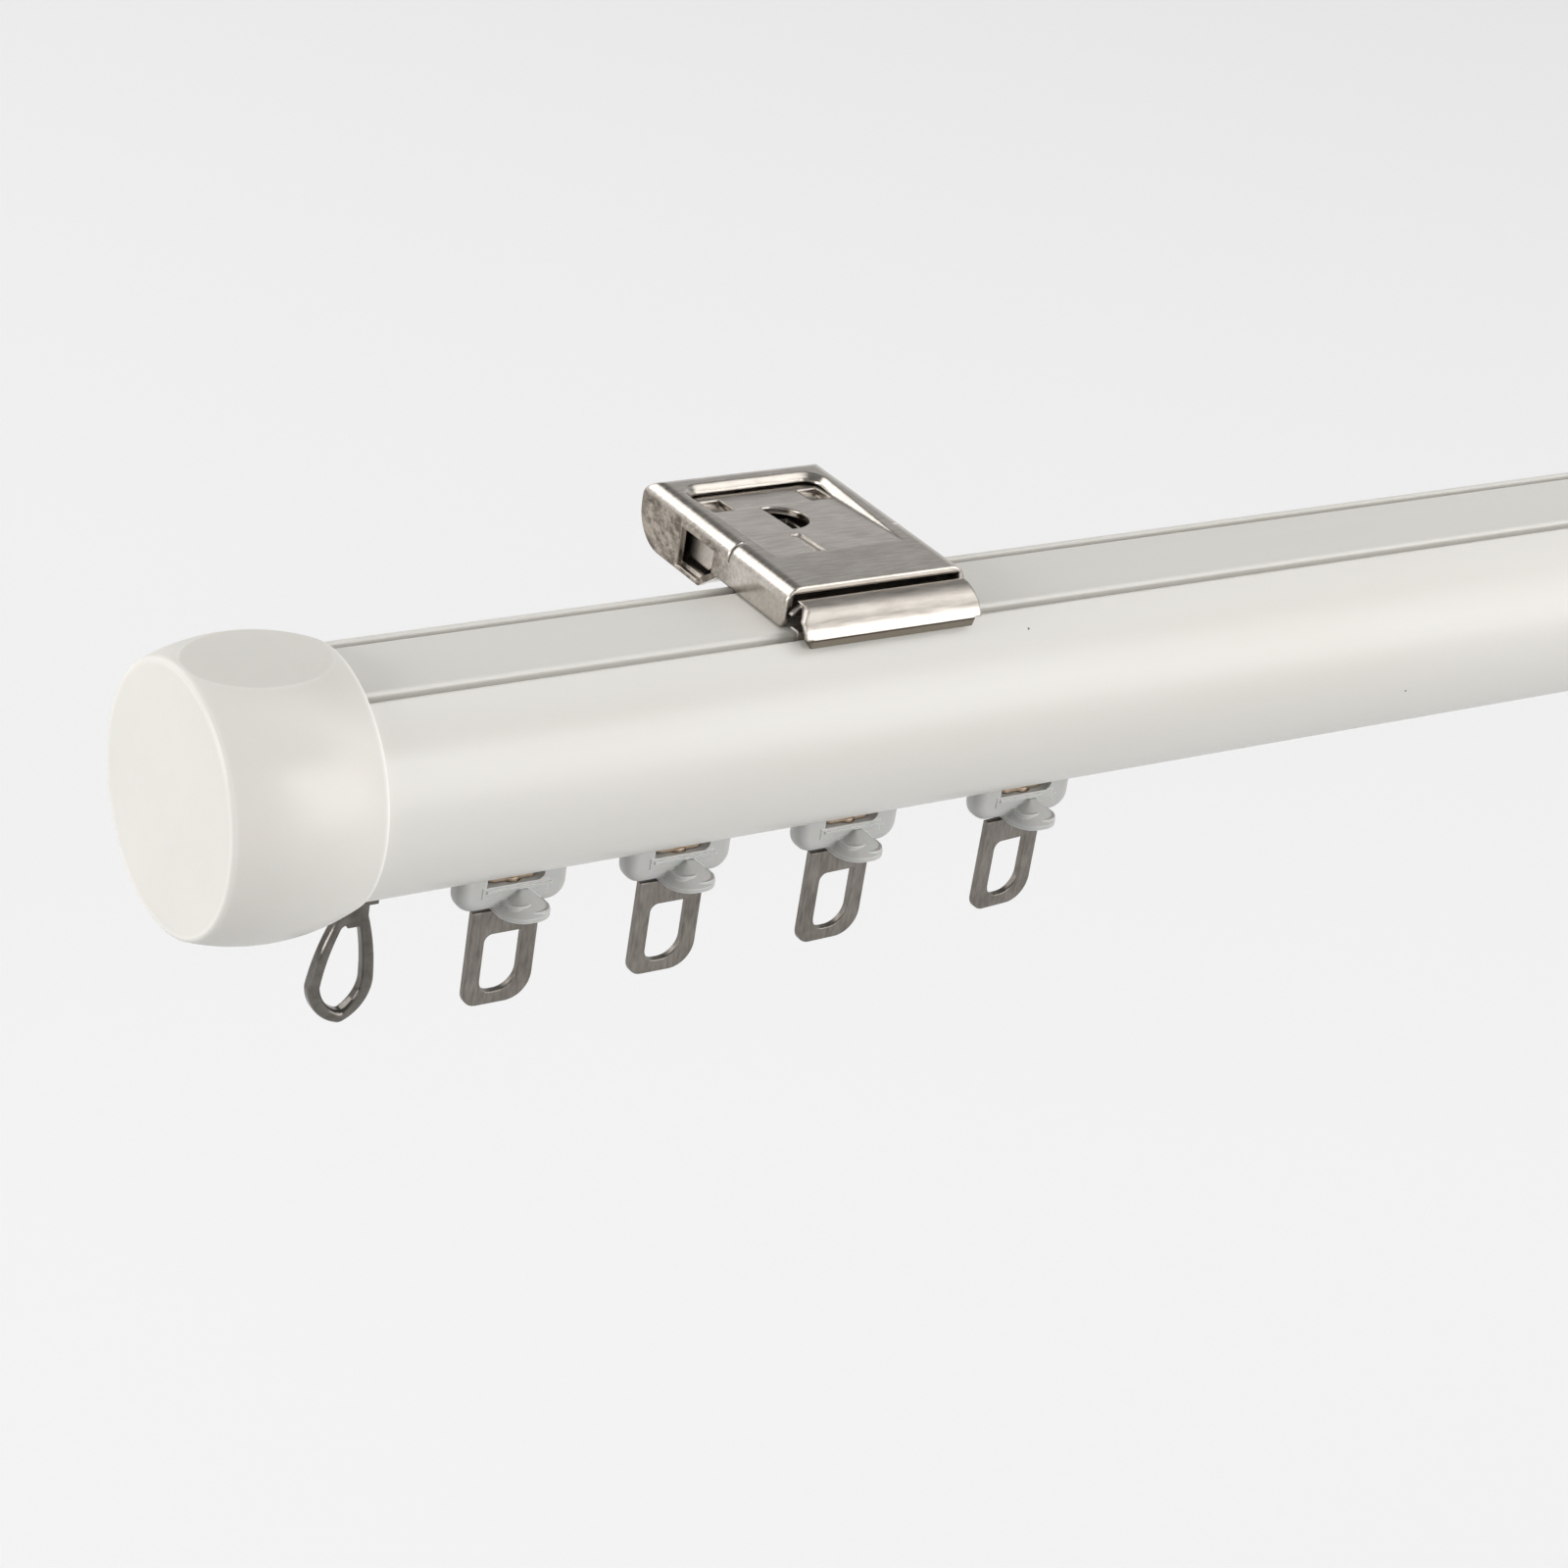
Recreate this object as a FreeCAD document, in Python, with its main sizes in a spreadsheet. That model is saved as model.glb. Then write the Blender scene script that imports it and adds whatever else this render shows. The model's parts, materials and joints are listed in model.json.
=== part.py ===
import FreeCAD, Part
import math
import os
import Sketcher
from FreeCAD import Placement, Rotation, Vector

# Round curtain track, hung under a ceiling by two clip-on brackets. Millimetres, +Z up, +X along the track.
# The origin is the middle of the left bracket's ceiling face, straight above the rail's round axis.
# Each sub-part is drawn with the rail's round axis at z = 0, then placed.

DRIVING_SIZES = {
    # whole track
    "track_length": 600.0,  # over both end caps
    "bracket_inset": 83.45,  # from each end of the track to the middle of its bracket
    "bracket_rise": 5.0624,  # from the flat top of the rail up to the ceiling
    # rail
    "rail_radius": 14.0,
    "rail_wall": 1.4,
    "flange_drop": 0.1,  # the flat top, below the edges of the shoulders
    "flange_half": 5.5,
    "flange_thickness": 1.25,
    "flange_neck_half": 3.9,
    "groove_half": 6.8,  # outer side of the hook grooves
    "groove_depth": 2.5,
    "groove_round": 0.4,
    "flange_round": 0.5,
    "track_floor_rise": 3.0,  # running surface, above the rail's lowest line
    "slot_half": 2.7,
    # end caps
    "cap_length": 18.0,
    "cap_wall": 2.0,
    "cap_face_rise": 0.9,  # the end face, outside the rail's radius
    "cap_rim_rise": 0.75,
    "cap_side_curve": 25.0,
    "cap_flat_rise": 1.1,
    "cap_round": 0.55,
    "cap_clearance": 0.1,
    # end stops
    "stop_inset": 22.5,  # from the end of the track
    "stop_nut_length": 8.8,
    "stop_nut_half": 5.4,
    "stop_nut_height": 3.4,
    "stop_clearance": 0.1,
    "stop_plate_back": 4.4,
    "stop_plate_reach": 2.6,
    "stop_plate_half": 2.5,
    "stop_plate_thickness": 1.2,
    "stop_plate_gap": 0.3,  # under the rail
    "screw_radius": 1.5,
    "screw_clearance": 0.05,
    "screw_length": 6.6,
    "screw_head_radius": 2.1,
    "screw_head_height": 1.4,
    "screw_slot_width": 0.7,
    "screw_offset": 2.2,  # from the middle of the stop towards the end of the track
    "ring_strand": 1.45,
    "ring_left": 3.85,  # widest place, from the middle of the stop
    "ring_right": 4.15,
    "ring_wide_rise": 5.0,  # from the ring's lowest point up to its widest place
    "ring_low_shift": 0.4,
    "ring_top_left": -0.9,
    "ring_top_right": 2.6,
    "ring_height": 13.6,
    "ring_left_curve": 26.0,
    "ring_right_curve": 30.0,
    "ring_low_curve": 5.4,
    "ring_top_curve": 2.5,
    "ring_blend": 1.2,  # between the ring's curves
    "ring_thickness": 1.7,
    "ring_fall": 17.2,  # from under the rail down to the ring's lowest point
    "ring_round": 0.5,
    "ring_neck_width": 2.4,
    "ring_neck_side": 2.5,  # from the ring's middle to the neck's far side
    # runners
    "guide_half": 7.0,
    "guide_thickness": 3.1,
    "guide_height": 5.5,
    "guide_gap": 0.35,  # under the rail
    "guide_corner": 2.3,
    "guide_rim": 1.3,  # rounding of the plate's ends and lower edges
    "boss_half": 3.2,
    "boss_shift": 0.9,  # from the stem to the boss's middle, along the track
    "boss_reach": 4.85,  # to the front and to the back
    "boss_round": 2.8,
    "boss_height": 0.5,  # straight part
    "boss_bevel": 2.3,
    "boss_drop": 0.2,  # below the guide plate
    "boss_tier_half": 1.5,
    "boss_tier_reach": 3.75,
    "boss_tier_round": 1.2,
    "boss_tier_height": 1.65,
    "boss_step_half": 1.9,
    "boss_step_shift": 1.8,
    "boss_step_reach": 4.45,
    "boss_step_round": 1.7,
    "boss_step_height": 1.0,
    "neck_half": 5.0,
    "neck_thickness": 3.8,
    "carriage_half": 4.6,
    "carriage_thickness": 5.2,
    "carriage_height": 6.8,
    "carriage_gap": 0.6,  # over the running surface
    "window_half": 3.7,
    "window_height": 1.7,
    "window_corner": 0.8,
    "sill_height": 3.25,  # from the guide plate's lower edge up to the window
    "sill_half": 4.2,
    "sill_thickness": 3.3,
    "sill_depth": 1.4,
    "sill_line": 0.35,
    "stem_clearance": 0.1,
    # wheels
    "wheel_radius": 4.0,
    "wheel_width": 2.2,
    "wheel_gap": 0.4,  # between the carriage and each wheel
    "wheel_round": 0.35,
    "running_gap": 0.06,  # under the wheels
    "axle_radius": 1.0,
    "axle_clearance": 0.05,
    # eyes
    "eye_half": 4.35,
    "eye_thickness": 0.9,
    "eye_height": 12.25,
    "eye_gap": 0.3,  # under the runner's boss
    "eye_hole_half": 2.4,
    "eye_hole_height": 7.5,
    "eye_hole_rise": 1.6,  # from the eye's lower edge up to the hole
    "hole_near_top": 1.0,  # corner radii of the eye's hole
    "hole_far_top": 0.4,
    "hole_near_bottom": 1.6,
    "hole_far_bottom": 2.6,
    "eye_near_corner": 1.8,
    "eye_far_corner": 3.2,
    "eye_round": 0.15,
    "stem_radius": 1.2,
    "stem_root": 0.5,  # how far the stem runs down into the eye
    "head_half": 3.2,
    "head_thickness": 1.8,
    "head_height": 0.8,
    # bracket base
    "base_half": 12.1,
    "base_sheet": 0.8,
    "base_front": 4.65,  # in front of the round axis
    "base_rear": 26.0,  # behind the round axis
    "base_drop": 2.44,  # lowest face, below the flat top of the rail
    "base_rear_round": 4.5,
    "base_round": 1.9,
    "base_rim": 0.5,  # left of the side walls under their windows
    "base_seat_gap": 0.16,  # between the flat top of the rail and the base's side walls
    "panel_side": 3.5,  # from the panel to the outside of the base
    "panel_start": 3.0,
    "panel_length": 18.8,
    "panel_depth": 1.05,
    "panel_round": 1.6,
    "hook_under_gap": 0.14,
    "hook_side_gap": 0.3,
    "hook_reach": 0.75,  # under the flange
    "tab_side": 5.35,  # from each spring tab to the outside of the base
    "tab_half": 1.15,
    "tab_front": 16.2,
    "tab_drop": 0.54,
    "tab_hole_half": 1.35,
    "tab_hole_length": 3.4,
    "screw_hole_radius": 3.4,
    "screw_hole_shift": 1.5,  # left of the bracket's middle
    "screw_hole_back": 13.3,
    "screw_hole_flat": 0.5,  # from the hole's centre to its straight side
    "driver_hole_radius": 3.9,
    "slit_width": 0.4,
    "slit_shift": 1.1,  # left of the hole's straight side
    "tongue_width": 0.9,
    "tongue_drop": 0.25,
    "slit_length": 5.3,
    "slit_start": 3.2,
    "slit_foot": 1.35,
    "window_front": 10.4,
    "window_rear": 17.4,
    "window_rise": 2.86,  # its top, above the flat top of the rail
    "seam_place": 7.2,
    "seam_width": 0.3,
    # bracket latch
    "latch_sheet": 0.6,
    "latch_side": 1.8,  # from the slider to the outside of the base
    "latch_rise": 2.16,  # underside of the slider, above the flat top of the rail
    "latch_rear": 22.6,
    "latch_skirt_drop": 1.14,
    "latch_slot_half": 3.1,
    "latch_slot_front": 9.4,
    "latch_slot_rear": 16.2,
    "latch_notch": 1.2,
    "latch_face_side": 0.25,  # from the clip's face to the outside of the base
    "latch_hook_side": 1.1,  # from the clip's lip to the outside of the base
    "clip_top_bend": 0.5,
    "clip_face_curve": 4.9,
    "clip_front_bend": 0.6,
    "clip_low_bend": 0.5,
    "clip_end_round": 0.9,
    "latch_lip_drop": 2.1,
    "latch_lip_sheet": 0.45,
    "latch_lip_reach": 0.4,  # under the flange
    "latch_lip_gap": 0.2,  # beside the flange
    # latch springs
    "spring_radius": 1.0,
    "spring_wire": 0.2,
    "spring_rise": 0.66,
    "spring_turns": 5.0,
    "spring_gap": 0.1,
}

RUNNERS = ("runner_1", "runner_2", "runner_3", "runner_4")
BRACKETS = ("bracket_left", "bracket_right")

# Middle of each runner, from the left end of the track.
RUNNER_PLACES = {
    "runner_1_place": 42.9,
    "runner_2_place": 64.7,
    "runner_3_place": 88.0,
    "runner_4_place": 113.4,
}

# How far each eye stands turned about its stem, in degrees.
EYE_TURNS = {"runner_1": 0.0, "runner_2": 0.0, "runner_3": 2.0, "runner_4": 5.0}

HALF_TURN = 180.0
SAME_PLACE = 0.002  # an edge this near to a named place is the edge meant
CUT_MARGIN = 1.0  # how far a cutting outline runs past the material it cuts
NEARLY_ALL = 0.97  # share of a half-width that a rounded end takes
PANEL_SIDE_SLOPE = 48.0  # degrees
BEVEL_SLOPE = 49.5
COIL_SEGMENT = 0.5  # turns of a spring in each stretch of its path

doc = FreeCAD.newDocument("curtain_track")


class Measure:
    """A number together with the sheet expression that gives it."""

    def __init__(self, value, text):
        self.value = float(value)
        self.text = text

    def joined(self, other, value, sign):
        return Measure(value, f"({self.text} {sign} {other.text})")

    def __add__(self, other):
        other = measure(other)
        return self.joined(other, self.value + other.value, "+")

    def __sub__(self, other):
        other = measure(other)
        return self.joined(other, self.value - other.value, "-")

    def __mul__(self, other):
        other = measure(other)
        return self.joined(other, self.value * other.value, "*")

    def __truediv__(self, other):
        other = measure(other)
        return self.joined(other, self.value / other.value, "/")

    def __neg__(self):
        return Measure(-self.value, f"(0 - {self.text})")


def measure(number):
    return number if isinstance(number, Measure) else Measure(number, repr(float(number)))


def leg(hypotenuse, other_leg):
    """Remaining leg of a right-angled triangle."""
    value = math.sqrt(hypotenuse.value**2 - other_leg.value**2)
    return Measure(value, f"sqrt({hypotenuse.text} ^ 2 - {other_leg.text} ^ 2)")


class Sizes:
    """The sheet of driving sizes, each read by its name."""

    def __init__(self, driving):
        sheet = doc.addObject("Spreadsheet::Sheet", "sizes")
        for row, (name, value) in enumerate(driving.items(), 1):
            sheet.set(f"A{row}", name)
            sheet.set(f"B{row}", repr(value))
            sheet.setAlias(f"B{row}", name)
            setattr(self, name, Measure(value, f"sizes.{name}"))
        doc.recompute()


size = Sizes({**DRIVING_SIZES, **RUNNER_PLACES})
ZERO = measure(0)

# Levels that several sub-parts share, above the round axis.
rail_bottom = -size.rail_radius
track_floor = rail_bottom + size.track_floor_rise
flange_level = leg(size.rail_radius, size.groove_half) - size.flange_drop
flange_bottom = flange_level - size.flange_thickness
groove_floor = flange_level - size.groove_depth
cavity_top = groove_floor - size.rail_wall
axle_level = track_floor + size.running_gap + size.wheel_radius
guide_top = rail_bottom - size.guide_gap
guide_bottom = guide_top - size.guide_height
boss_bottom = guide_bottom - size.boss_drop
sill_level = guide_bottom + size.sill_height
eye_top = boss_bottom - size.eye_gap
plate_top = rail_bottom - size.stop_plate_gap
plate_bottom = plate_top - size.stop_plate_thickness
ring_bottom = rail_bottom - size.ring_fall
base_top = flange_level + size.bracket_rise
wall_bottom = flange_level + size.base_seat_gap
base_floor = flange_level - size.base_drop
latch_level = flange_level + size.latch_rise
latch_skirt = flange_level - size.latch_skirt_drop
tab_bottom = flange_level - size.tab_drop
spring_level = flange_level + size.spring_rise
tab_spread = size.base_half - size.tab_side
latch_half = size.base_half - size.latch_side


def bind(thing, property_name, value):
    """Hold a property to the sheet."""
    thing.setExpression(property_name, measure(value).text)


def new_body(label):
    body = doc.addObject("PartDesign::Body", label)
    body.Label = label
    return body


def place(thing, x, y, z, rotation=Rotation()):
    thing.Placement = Placement(Vector(x.value, y.value, z.value), rotation)
    bind(thing, "Placement.Base.x", x)
    bind(thing, "Placement.Base.y", y)
    bind(thing, "Placement.Base.z", z)


def place_along(thing, along, turn=0.0):
    """Place a sub-part drawn about the rail's axis, so far from the left end of the track."""
    place(thing, along - size.bracket_inset, ZERO, -base_top, Rotation(Vector(0, 0, 1), turn))


def sketch_on(body, role, name, offset=ZERO):
    """New sketch on one of the body's own origin planes, moved along the plane's normal."""
    plane = next(item for item in body.Origin.OriginFeatures if item.Role == role)
    sketch = body.newObject("Sketcher::SketchObject", f"{body.Label}_{name}")
    sketch.AttachmentSupport = (plane, [""])
    sketch.MapMode = "FlatFace"
    bind(sketch, "AttachmentOffset.Base.z", offset)
    return sketch


def hold(sketch, kind, *where_and_value):
    """Constraint whose last item, a Measure, is held to the sheet."""
    *where, value = where_and_value
    number = sketch.addConstraint(Sketcher.Constraint(kind, *where, value.value))
    bind(sketch, f"Constraints[{number}]", value)


def hold_point(sketch, edge, end, across, up):
    hold(sketch, "DistanceX", -1, 1, edge, end, across)
    hold(sketch, "DistanceY", -1, 1, edge, end, up)


def arc_between(start, end, radius, long_way):
    """Counter-clockwise arc between two points, the short way round unless told otherwise."""
    chord = end - start
    away = math.sqrt(max(radius**2 - (chord.Length / 2) ** 2, 0.0))
    left = Vector(-chord.y, chord.x, 0).normalize()
    centre = (start + end) * 0.5 + left * (-away if long_way else away)
    first = math.atan2(start.y - centre.y, start.x - centre.x)
    last = math.atan2(end.y - centre.y, end.x - centre.x)
    if last < first:
        last += 2 * math.pi
    return Part.ArcOfCircle(Part.Circle(centre, Vector(0, 0, 1), radius), first, last)


def add_outline(sketch, points, arcs=None, long_way=False):
    """Closed outline through the points; arcs gives the radius of each side that is curved, by its number."""
    arcs = arcs or {}
    first = sketch.GeometryCount
    count = len(points)
    vectors = [Vector(across.value, up.value, 0) for across, up in points]
    for index in range(count):
        start, end = vectors[index], vectors[(index + 1) % count]
        if index in arcs:
            sketch.addGeometry(arc_between(start, end, arcs[index].value, long_way))
        else:
            sketch.addGeometry(Part.LineSegment(start, end))
    for index in range(count):
        following = first + (index + 1) % count
        sketch.addConstraint(Sketcher.Constraint("Coincident", first + index, 2, following, 1))
    for index, (across, up) in enumerate(points):
        hold_point(sketch, first + index, 1, across, up)
    for index, radius in arcs.items():
        hold(sketch, "Radius", first + index, radius)


def add_rectangle(sketch, left, bottom, right, top):
    add_outline(sketch, [(left, bottom), (right, bottom), (right, top), (left, top)])


def add_circle(sketch, across, up, radius):
    circle = sketch.addGeometry(Part.Circle(Vector(across.value, up.value, 0), Vector(0, 0, 1), radius.value))
    hold_point(sketch, circle, 3, across, up)
    hold(sketch, "Radius", circle, radius)


def pad(body, sketch, length, symmetric=False):
    feature = body.newObject("PartDesign::Pad", f"{sketch.Label}_pad")
    feature.Profile = sketch
    feature.SideType = "Symmetric" if symmetric else "One side"
    bind(feature, "Length", length)
    doc.recompute()
    return feature


def cut(body, sketch, length=None, upward=False, symmetric=False):
    """Cut the sketch through the whole body both ways, or to a length below, above or about its plane."""
    before = body.Tip.Shape.Volume
    feature = body.newObject("PartDesign::Pocket", f"{sketch.Label}_cut")
    feature.Profile = sketch
    if length is None:
        feature.Type = "ThroughAll"
        feature.SideType = "Symmetric"
    else:
        feature.Type = "Length"
        feature.SideType = "Symmetric" if symmetric else "One side"
        feature.Reversed = upward
        bind(feature, "Length", length)
    doc.recompute()
    if not feature.Shape.Volume < before:
        raise RuntimeError(f"{feature.Label} cuts nothing")
    return feature


def edges_through(body, axis, places):
    """Names of the straight edges along an axis that pass through places given by the other two coordinates."""
    direction = {"x": Vector(1, 0, 0), "y": Vector(0, 1, 0), "z": Vector(0, 0, 1)}[axis]
    names = []
    for number, edge in enumerate(body.Tip.Shape.Edges, 1):
        if edge.Curve.TypeId != "Part::GeomLine":
            continue
        if abs(abs(edge.Curve.Direction.dot(direction)) - 1) > SAME_PLACE:
            continue
        others = [value for name, value in zip("xyz", edge.Vertexes[0].Point) if name != axis]
        for first, second in places:
            if math.hypot(others[0] - first.value, others[1] - second.value) < SAME_PLACE:
                names.append(f"Edge{number}")
    return names


def edges_in_plane(body, axis, level):
    """Names of the edges that lie whole in the plane across an axis at a level."""
    names = []
    for number, edge in enumerate(body.Tip.Shape.Edges, 1):
        box = edge.BoundBox
        low, high = {"x": (box.XMin, box.XMax), "y": (box.YMin, box.YMax)}[axis]
        if abs(low - level.value) < SAME_PLACE and abs(high - level.value) < SAME_PLACE:
            names.append(f"Edge{number}")
    return names


def round_edges(body, name, radius, edges):
    if not edges:
        raise RuntimeError(f"no edges found for {body.Label} {name}")
    base = body.Tip
    feature = body.newObject("PartDesign::Fillet", f"{body.Label}_{name}")
    feature.Base = (base, edges)
    bind(feature, "Radius", radius)
    doc.recompute()
    if feature.Shape.isNull() or "Invalid" in feature.State:
        raise RuntimeError(f"{feature.Label} can't be made")
    return feature


def both_sides(half, level):
    return [(half, level), (-half, level)]


def build_rail():
    """Extruded rail: round outside, flat top flange with a hook groove each side, hollow, slot below."""
    body = new_body("rail")
    outside = sketch_on(body, "YZ_Plane", "outside")
    add_circle(outside, ZERO, ZERO, size.rail_radius)
    pad(body, outside, size.track_length - size.cap_wall * 2)
    top = sketch_on(body, "YZ_Plane", "flat_top")
    half = (size.flange_half + size.groove_half) / 2
    add_rectangle(top, -half, flange_level, half, size.rail_radius + CUT_MARGIN)
    cut(body, top)
    for name, side in (("front_groove", -1), ("rear_groove", 1)):
        groove = sketch_on(body, "YZ_Plane", name)
        points = [
            (size.flange_neck_half, groove_floor),
            (size.groove_half, groove_floor),
            (size.groove_half, size.rail_radius),
            (size.flange_half, size.rail_radius),
            (size.flange_half, flange_bottom),
            (size.flange_neck_half, flange_bottom),
        ]
        add_outline(groove, [(across * side, up) for across, up in points])
        cut(body, groove)
    rail_hollow(body)
    shoulders = both_sides(size.groove_half, leg(size.rail_radius, size.groove_half))
    round_edges(body, "shoulders", size.groove_round, edges_through(body, "x", shoulders))
    flange_edges = both_sides(size.flange_half, flange_level)
    round_edges(body, "flange_edges", size.flange_round, edges_through(body, "x", flange_edges))
    place_along(body, size.cap_wall)
    return body


def rail_hollow(body):
    radius = size.rail_radius - size.rail_wall
    low_half = leg(radius, track_floor)
    high_half = leg(radius, cavity_top)
    hollow = sketch_on(body, "YZ_Plane", "hollow")
    points = [
        (low_half, track_floor),
        (high_half, cavity_top),
        (-high_half, cavity_top),
        (-low_half, track_floor),
    ]
    add_outline(hollow, points, {0: radius, 2: radius})
    cut(body, hollow)
    slot = sketch_on(body, "YZ_Plane", "slot")
    add_rectangle(slot, -size.slot_half, rail_bottom - CUT_MARGIN, size.slot_half, track_floor + CUT_MARGIN)
    cut(body, slot)


def build_end_cap(label, along, turn):
    """Barrel-shaped moulded cap with a flat end and top, bored for the rail's end."""
    body = new_body(label)
    bore = size.rail_radius + size.cap_clearance
    face_radius = size.rail_radius + size.cap_face_rise
    profile = sketch_on(body, "XZ_Plane", "profile")
    points = [
        (ZERO, ZERO),
        (size.cap_wall, ZERO),
        (size.cap_wall, bore),
        (size.cap_length, bore),
        (size.cap_length, size.rail_radius + size.cap_rim_rise),
        (ZERO, face_radius),
    ]
    add_outline(profile, points, {4: size.cap_side_curve})
    barrel = body.newObject("PartDesign::Revolution", f"{label}_barrel")
    barrel.Profile = profile
    barrel.ReferenceAxis = (profile, ["H_Axis"])
    barrel.Angle = 2 * HALF_TURN
    doc.recompute()
    round_edges(body, "end_round", size.cap_round, edges_in_plane(body, "x", ZERO))
    seat = sketch_on(body, "YZ_Plane", "flange_seat", size.cap_wall)
    seat_level = flange_level + size.cap_clearance
    seat_radius = bore + size.cap_clearance * 3
    half = leg(seat_radius, seat_level)
    add_outline(seat, [(half, seat_level), (-half, seat_level)], {0: seat_radius})
    pad(body, seat, size.cap_length - size.cap_wall)
    flat = sketch_on(body, "YZ_Plane", "flat_top")
    flat_level = size.rail_radius + size.cap_flat_rise
    add_rectangle(flat, -face_radius, flat_level, face_radius, flat_level + size.cap_length)
    cut(body, flat)
    place_along(body, along, turn)
    return body


def build_stop_nut(label, along, turn):
    """Block inside the rail, reaching down through the slot, that the stop's screw pulls on the rail."""
    body = new_body(label)
    bottom = track_floor + size.stop_clearance
    top = bottom + size.stop_nut_height
    spigot = size.slot_half - size.stop_clearance * 3
    half = size.stop_nut_half
    section = sketch_on(body, "YZ_Plane", "section")
    points = [
        (-half, bottom),
        (-spigot, bottom),
        (-spigot, plate_top),
        (spigot, plate_top),
        (spigot, bottom),
        (half, bottom),
        (half, top),
        (-half, top),
    ]
    add_outline(section, points)
    pad(body, section, size.stop_nut_length, symmetric=True)
    thread = sketch_on(body, "XY_Plane", "thread")
    add_circle(thread, -size.screw_offset, ZERO, size.screw_radius)
    cut(body, thread)
    place_along(body, along, turn)
    return body


def build_end_ring(label, along, turn):
    """Ring for the last hook, forged in one with the plate that is screwed up under the rail."""
    body = new_body(label)
    outside = sketch_on(body, "XZ_Plane", "outside")
    corners = ring_outline(outside, ZERO)
    pad(body, outside, size.ring_thickness, symmetric=True)
    round_edges(body, "outer_corners", size.ring_blend, edges_through(body, "y", corners))
    hole = sketch_on(body, "XZ_Plane", "hole")
    corners = ring_outline(hole, size.ring_strand)
    cut(body, hole)
    round_edges(body, "hole_corners", size.ring_blend / 2, edges_through(body, "y", corners))
    face = size.ring_thickness / 2
    strand_edges = edges_in_plane(body, "y", face) + edges_in_plane(body, "y", -face)
    round_edges(body, "strand", size.ring_round, strand_edges)
    ring_plate(body, ring_bottom + size.ring_height - size.ring_strand)
    place_along(body, along, turn)
    return body


def ring_outline(sketch, inset):
    """Egg-shaped outline, narrow at the top, so far inside the ring's outer edge."""
    widest = ring_bottom + size.ring_wide_rise
    top = ring_bottom + size.ring_height - inset
    points = [
        (size.ring_top_right - inset * 0.6, top),
        (size.ring_top_left + inset * 0.3, top),
        (inset - size.ring_left, widest),
        (size.ring_low_shift, ring_bottom + inset),
        (size.ring_right - inset, widest),
    ]
    low = size.ring_low_curve - inset * 0.75
    curves = {0: size.ring_top_curve, 1: size.ring_left_curve, 2: low, 3: low, 4: size.ring_right_curve}
    add_outline(sketch, points, curves)
    return points


def ring_plate(body, neck_bottom):
    """Neck up from the top of the ring, and the plate with the hole for the stop's screw."""
    neck = sketch_on(body, "XZ_Plane", "neck")
    right = size.ring_neck_side
    add_rectangle(neck, right - size.ring_neck_width, neck_bottom, right, plate_top - size.stop_clearance)
    pad(body, neck, size.ring_thickness, symmetric=True)
    plate = sketch_on(body, "XY_Plane", "plate", plate_bottom)
    half = size.stop_plate_half
    add_rectangle(plate, -size.stop_plate_back, -half, size.stop_plate_reach, half)
    pad(body, plate, size.stop_plate_thickness)
    hole = sketch_on(body, "XY_Plane", "screw_hole", plate_bottom - CUT_MARGIN)
    add_circle(hole, -size.screw_offset, ZERO, size.screw_radius + size.screw_clearance)
    cut(body, hole, size.stop_plate_thickness + CUT_MARGIN * 2, upward=True)


def add_cylinder(label, radius, height, x, y, z, rotation=Rotation()):
    thing = doc.addObject("Part::Cylinder", label)
    thing.Label = label
    bind(thing, "Radius", radius)
    bind(thing, "Height", height)
    place(thing, x, y, z, rotation)
    return thing


def build_screw(label, x):
    """Slotted screw put up from below through the ring's plate into the nut."""
    bottom = plate_bottom - size.screw_head_height - base_top
    shank_height = size.screw_head_height + size.screw_length
    shank = add_cylinder(f"{label}_shank", size.screw_radius, shank_height, x, ZERO, bottom)
    head = add_cylinder(f"{label}_head", size.screw_head_radius, size.screw_head_height, x, ZERO, bottom)
    blank = doc.addObject("Part::MultiFuse", f"{label}_blank")
    blank.Shapes = [shank, head]
    slot = doc.addObject("Part::Box", f"{label}_slot")
    bind(slot, "Length", size.screw_head_radius * 3)
    bind(slot, "Width", size.screw_slot_width)
    bind(slot, "Height", size.screw_head_height)
    slot_bottom = bottom - size.screw_head_height / 2
    place(slot, x - size.screw_head_radius * 1.5, -size.screw_slot_width / 2, slot_bottom)
    screw = doc.addObject("Part::Cut", label)
    screw.Base = blank
    screw.Tool = slot
    return screw


def build_stop_screws():
    """The two screws of the end stops, one group."""
    left = size.stop_inset - size.screw_offset - size.bracket_inset
    right = size.track_length - size.stop_inset + size.screw_offset - size.bracket_inset
    group = doc.addObject("Part::Compound", "end_stop_screws")
    group.Label = "end_stop_screws"
    group.Links = [build_screw("left_stop_screw", left), build_screw("right_stop_screw", right)]
    doc.recompute()
    return group


def build_runner_body(label, along):
    """Moulded runner: carriage inside the rail, neck in the slot, guide plate and swivel boss below."""
    body = new_body(f"{label}_body")
    runner_guide(body)
    runner_carriage(body)
    window = sketch_on(body, "XZ_Plane", "window")
    add_rectangle(window, -size.window_half, sill_level, size.window_half, sill_level + size.window_height)
    cut(body, window)
    corner = edges_through(body, "y", [(size.window_half, sill_level)])
    round_edges(body, "window_corner", size.window_corner, corner)
    stem = sketch_on(body, "XY_Plane", "stem_bore", boss_bottom)
    add_circle(stem, ZERO, ZERO, size.stem_radius + size.stem_clearance)
    cut(body, stem, size.boss_drop + size.sill_height, upward=True)
    place_along(body, along)
    return body


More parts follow.
